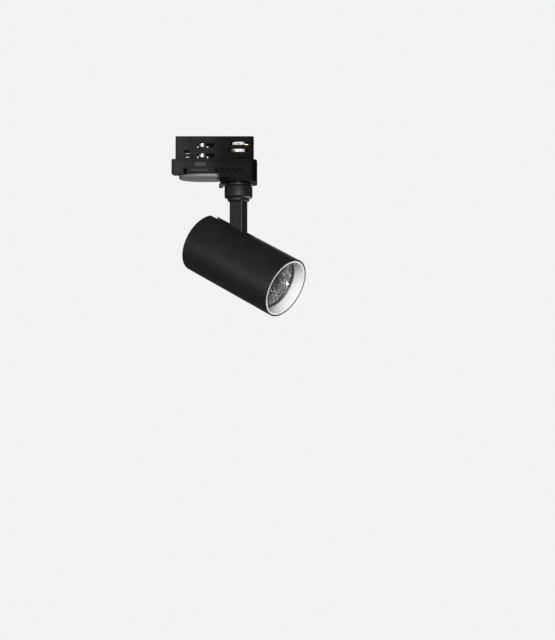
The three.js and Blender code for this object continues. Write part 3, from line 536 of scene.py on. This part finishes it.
def carve(obj, low, high, matrix):
    """Cuts a box, given in local millimetres, out of the object."""
    cutter = from_bmesh("cutter", block_bmesh(low, high), matrix)
    cut = obj.modifiers.new("cut", "BOOLEAN")
    cut.operation = "DIFFERENCE"
    cut.solver = "EXACT"
    cut.object = cutter
    bpy.context.view_layer.update()
    bake_modifiers(obj)
    bpy.data.objects.remove(cutter)


def add_bevel(obj, width_mm, angle, segments):
    bevel = obj.modifiers.new("round", "BEVEL")
    bevel.width = width_mm * MM
    bevel.segments = segments
    bevel.limit_method = "ANGLE"
    bevel.angle_limit = math.radians(angle)
    bevel.use_clamp_overlap = True
    return bevel


def round_edges(obj, width_mm, angle=30, segments=3):
    """Rounds every edge sharper than angle and smooths the shading between them."""
    for polygon in obj.data.polygons:
        polygon.use_smooth = True
    obj.data.set_sharp_from_angle(angle=math.radians(angle))
    add_bevel(obj, width_mm, angle, segments).harden_normals = True


def finish_piece(obj, body, slot, *nodes, look=None):
    obj.data.materials.clear()
    obj.data.materials.append(MATERIALS[look or slot])
    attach(obj, body)
    if nodes:
        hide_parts(*nodes)


def smooth_curved_faces(bm, angle):
    """Shades a face smooth only where it meets a neighbour at a shallow angle, so that flats stay flat."""
    for face in bm.faces:
        turns = [edge.calc_face_angle(math.pi) for edge in face.edges]
        face.smooth = any(0.01 < turn < angle for turn in turns)


def soft_copy(node, width_mm=0.18, cuts=()):
    """Copy of a CAD node with its flats merged and its edges rounded, less the boxes in cuts."""
    bm = bmesh.new()
    bm.from_mesh(NODES[node].data)
    bmesh.ops.remove_doubles(bm, verts=bm.verts, dist=1e-7)
    bmesh.ops.dissolve_limit(bm, angle_limit=math.radians(0.8), verts=bm.verts, edges=bm.edges)
    smooth_curved_faces(bm, math.radians(32))
    mesh = bpy.data.meshes.new(node + "_soft")
    bm.to_mesh(mesh)
    bm.free()
    obj = new_object(node + "_soft", mesh)
    for low, high in cuts:
        carve(obj, low, high, ADAPTER)
    obj.data.set_sharp_from_angle(angle=math.radians(32))
    add_bevel(obj, width_mm, 33, 2)
    finish_piece(obj, BODY_OF[node], SLOT_OF[node], node, look=LOOK_OF.get(node))


# ---------------------------------------------------------------- head

TUBE_LOW, TUBE_HIGH = local_box("head_tube", HEAD)
TUBE_RADIUS = (TUBE_HIGH.y - TUBE_LOW.y) / 2
AXIS_Z = TUBE_LOW.z + TUBE_RADIUS
ON_AXIS = HEAD @ Matrix.Translation((0, 0, AXIS_Z * MM))
SLOT_HALF = 5.7  # half the width of the slot that the stem swings in
SLOT_FRONT = 8.2
SLOT_TOP = 40  # well above the tube, so that a cut runs right through


def build_tube():
    wall, rear, front, r = 1.3, TUBE_LOW.x, TUBE_HIGH.x, TUBE_RADIUS
    steps = 6
    outside = [(r, rear + 0.25 + (front - rear - 0.5) * i / steps) for i in range(steps + 1)]
    profile = [(r - wall, rear + 0.15), (r - wall + 0.15, rear), (r - 0.25, rear)] + outside
    profile += [(r - 0.25, front), (r - wall + 0.15, front), (r - wall, front - 0.15)]
    tube = lathe("tube_shell", profile, ON_AXIS, 192)
    carve(tube, (rear - 5, -SLOT_HALF, 10), (SLOT_FRONT, SLOT_HALF, SLOT_TOP), HEAD)
    round_edges(tube, 0.12, angle=35, segments=2)
    finish_piece(tube, "head", "black_paint", "head_tube")


def build_rear_cap():
    low, high = local_box("rear_cap", HEAD)
    radius = (high.y - low.y) / 2
    back, face = low.x, high.x
    profile = [
        (0, back + 0.5), (radius - 3.6, back + 0.5), (radius - 3.0, back), (radius - 0.6, back),
        (radius, back + 0.6), (radius, face), (0, face),
    ]
    cap = lathe("rear_cap_plate", profile, ON_AXIS, 128)
    carve(cap, (back - 5, -SLOT_HALF, -8.7), (face + 5, SLOT_HALF, SLOT_TOP), HEAD)
    round_edges(cap, 0.2, segments=2)
    finish_piece(cap, "head", "black_paint", "rear_cap")


def build_baffle():
    low, high = local_box("baffle_ring", HEAD)
    outer = (high.y - low.y) / 2
    rear, front = low.x, high.x
    mouth, throat = 26.8, 25.2
    profile = [(throat, rear + 0.2), (throat + 0.15, rear), (outer, rear), (outer, front)]
    profile += [(mouth + 0.25, front), (mouth + 0.05, front - 0.12), (mouth, front - 0.4)]
    baffle = lathe("baffle_liner", profile, ON_AXIS, 192)
    round_edges(baffle, 0.05, angle=50, segments=2)
    finish_piece(baffle, "head", "baffle_white", "baffle_ring")


def build_bezel():
    low, high = local_box("lens_bezel", HEAD)
    outer = (high.y - low.y) / 2
    rear, front, bore = low.x, high.x, 24.9
    profile = [(bore, rear), (outer, rear), (outer, front), (bore + 0.3, front), (bore, front - 0.3)]
    bezel = lathe("lens_retainer", profile, ON_AXIS, 160)
    round_edges(bezel, 0.12, segments=2)
    finish_piece(bezel, "head", "bezel_plastic", "lens_bezel", look="bezel_satin")


def build_lens():
    low, high = local_box("lens", HEAD)
    radius = (high.y - low.y) / 2
    rear, front = low.x, high.x
    flange, middle = front - 1.3, 24.6
    profile = [(0, rear), (radius - 0.3, rear), (radius, rear + 0.3), (radius, flange), (middle, flange)]
    profile += [(middle, front - 0.2), (middle - 0.2, front), (0, front)]
    lens = lathe("lens_disc", profile, ON_AXIS, 128)
    round_edges(lens, 0.1, segments=2)
    finish_piece(lens, "head", "lens_glass", "lens")


def build_reflector():
    """Bowl of dimpled facets: each cell of the parabola has its own raised middle."""
    low, high = local_box("reflector", HEAD)
    rear, mouth = low.x, high.x
    throat_radius, mouth_radius, wall = 8.0, 24.6, 1.0
    around, rows, dimple = 32, 8, 0.9
    reach = mouth_radius ** 2 - throat_radius ** 2
    bm = bmesh.new()

    def bowl_x(row):
        return rear + (mouth - rear) * row / rows

    def bowl_radius(row):
        return math.sqrt(throat_radius ** 2 + reach * row / rows)

    def on_circle(x, radius, turn):
        angle = 2 * math.pi * turn / around
        return (x, radius * math.cos(angle), radius * math.sin(angle))

    def inside(row, turn, lift=0.0):
        return on_circle(bowl_x(row), bowl_radius(row) - lift, turn)

    grid = [
        [bm.verts.new(inside(row, turn + 0.5 * (row % 2))) for turn in range(around)]
        for row in range(rows + 1)
    ]
    for row in range(rows):
        shift = row % 2
        for turn in range(around):
            low_a, low_b = grid[row][turn], grid[row][(turn + 1) % around]
            high_a = grid[row + 1][(turn + shift) % around]
            high_b = grid[row + 1][(turn + shift - 1) % around]
            middle = bm.verts.new(inside(row + 0.5, turn + 0.25 + 0.25 * shift, dimple))
            ring = [low_a, low_b, high_a, high_b]
            for i in range(4):
                bm.faces.new([ring[i], ring[(i + 1) % 4], middle])
    outer = (high.y - low.y) / 2
    back = [(outer, mouth), (outer, mouth - 1.2), (mouth_radius + wall, mouth - 1.2)]
    back += [(bowl_radius(row) + wall, bowl_x(row)) for row in range(rows - 1, -1, -1)]
    rings = [grid[rows]]
    for radius, x in back:
        rings.append([bm.verts.new(on_circle(x, radius, turn)) for turn in range(around)])
    rings.append(grid[0])
    for first, second in zip(rings, rings[1:]):
        for i in range(around):
            j = (i + 1) % around
            bm.faces.new([first[i], first[j], second[j], second[i]])
    bmesh.ops.recalc_face_normals(bm, faces=bm.faces)
    bowl = from_bmesh("reflector_bowl", bm, ON_AXIS)
    finish_piece(bowl, "head", "reflector_mirror", "reflector")


# ---------------------------------------------------------------- swivel

def build_collar():
    low, high = local_box("swivel_collar", SWIVEL)
    r, bottom, top = (high.x - low.x) / 2, low.z, high.z
    profile = [
        (5.4, top), (r - 0.9, top), (r - 0.3, top - 0.25), (r, top - 0.8), (r, bottom + 0.5),
        (r - 0.35, bottom), (11.7, bottom), (11.7, top - 2.5), (5.4, top - 2.5),
    ]
    collar = lathe("collar_shell", profile, SWIVEL @ UPRIGHT, 144)
    round_edges(collar, 0.12, segments=2)
    finish_piece(collar, "swivel", "black_paint", "swivel_collar")


def build_cone():
    low, high = local_box("swivel_cone", SWIVEL)
    collar_bottom = local_box("swivel_collar", SWIVEL)[0].z
    top, bottom = high.z, low.z
    shoulder = collar_bottom - 0.3
    r = (high.x - low.x) / 2
    profile = [
        (10.5, top), (11.4, top), (11.4, shoulder), (r - 0.25, shoulder), (r, shoulder - 0.2),
        (11.2, -37.0), (10.9, -37.4), (10.75, bottom + 0.9), (10.4, bottom + 0.3), (9.8, bottom),
        (4, bottom), (4, -35.6), (10.5, -35.6),
    ]
    cone = lathe("cone_shell", profile, SWIVEL @ UPRIGHT, 144)
    round_edges(cone, 0.15, segments=2)
    finish_piece(cone, "swivel", "black_paint", "swivel_cone")


# ---------------------------------------------------------------- adapter, lever and selector

def build_painted_shade_sheets():
    """Near-black sheets of painted shade on the backs of the hollows in the housing: notches, windows and the
    selector's pocket.
    """
    hollows = ((NOTCH, NOTCH_BACK), (RIGHT_WINDOW, WINDOW_BACK), (LEFT_SILL, WINDOW_BACK))
    liners = []
    for side in (-1, 1):
        for (x0, x1, z0, z1), depth in hollows:
            ys = sorted((side * depth, side * (depth - LINER_THICK)))
            liners.append(block_bmesh((x0, ys[0], z0), (x1, ys[1], z1)))
    x0, x1, z0, z1 = POCKET
    liners.append(block_bmesh((x0, -POCKET_BACK, z0), (x1, LINER_THICK - POCKET_BACK, z1)))
    liner = from_bmesh("painted_shade_sheets", merge_bmesh(liners), ADAPTER)
    round_edges(liner, 0.02, segments=1)
    finish_piece(liner, "adapter", "adapter_plastic", look="recess_painted_shade")


def build_window_inserts():
    """Moulded rows inside the two front windows: ribs in the left, small contact studs in the right."""
    back, face = -WINDOW_BACK, -WINDOW_BACK - STAND_PROUD
    bars = []
    for i in range(15):
        x = -46 + i * 1.15
        tall = 2.6 if i % 3 else 1.7
        bars.append(block_bmesh((x, face, -11 - tall / 2), (x + 0.55, back, -11 + tall / 2)))
    ribs = from_bmesh("window_ribs", merge_bmesh(bars), ADAPTER)
    round_edges(ribs, 0.08, segments=1)
    finish_piece(ribs, "adapter", "adapter_plastic", look="window_rib")
    studs = []
    for i in range(18):
        for row in (0, 1):
            if (i * 5 + row * 3) % 4 == 0:
                continue
            x = -21.6 + i * 1.4 + 0.3 * row
            z = -10.3 - 1.6 * row
            studs.append(block_bmesh((x, face, z - 0.3), (x + 0.6, back, z + 0.3)))
    dots = from_bmesh("window_studs", merge_bmesh(studs), ADAPTER)
    round_edges(dots, 0.08, segments=1)
    finish_piece(dots, "adapter", "adapter_plastic", look="adapter_label")


def build_housing_trim():
    """Pad and edge rib that stand a little proud of the front and back of the housing."""
    for name, side in (("front", -1), ("back", 1)):
        ys = sorted((side * PAD_BACK, side * (PAD_BACK + STAND_PROUD)))
        pad = from_bmesh(
            f"trim_pad_{name}", block_bmesh((-42.3, ys[0], -7.0), (-31.5, ys[1], -3.2)), ADAPTER)
        round_edges(pad, 0.15, segments=2)
        finish_piece(pad, "adapter", "adapter_plastic", look="adapter_label")
        rib = from_bmesh(
            f"trim_rib_{name}", block_bmesh((-49.8, ys[0], -13.6), (-48.9, ys[1], -2.6)), ADAPTER)
        round_edges(rib, 0.15, segments=2)
        finish_piece(rib, "adapter", "adapter_plastic")


build_camera()
build_stage()
build_light()
MATERIALS = build_materials()
build_tube()
build_rear_cap()
build_baffle()
build_bezel()
build_lens()
build_reflector()
build_collar()
build_cone()
build_window_inserts()
build_housing_trim()
build_painted_shade_sheets()
for node in NODES:
    if node not in REBUILT:
        soft_copy(node, cuts=CUTS_IN.get(node, ()))

bpy.context.scene.view_settings.view_transform = "Standard"
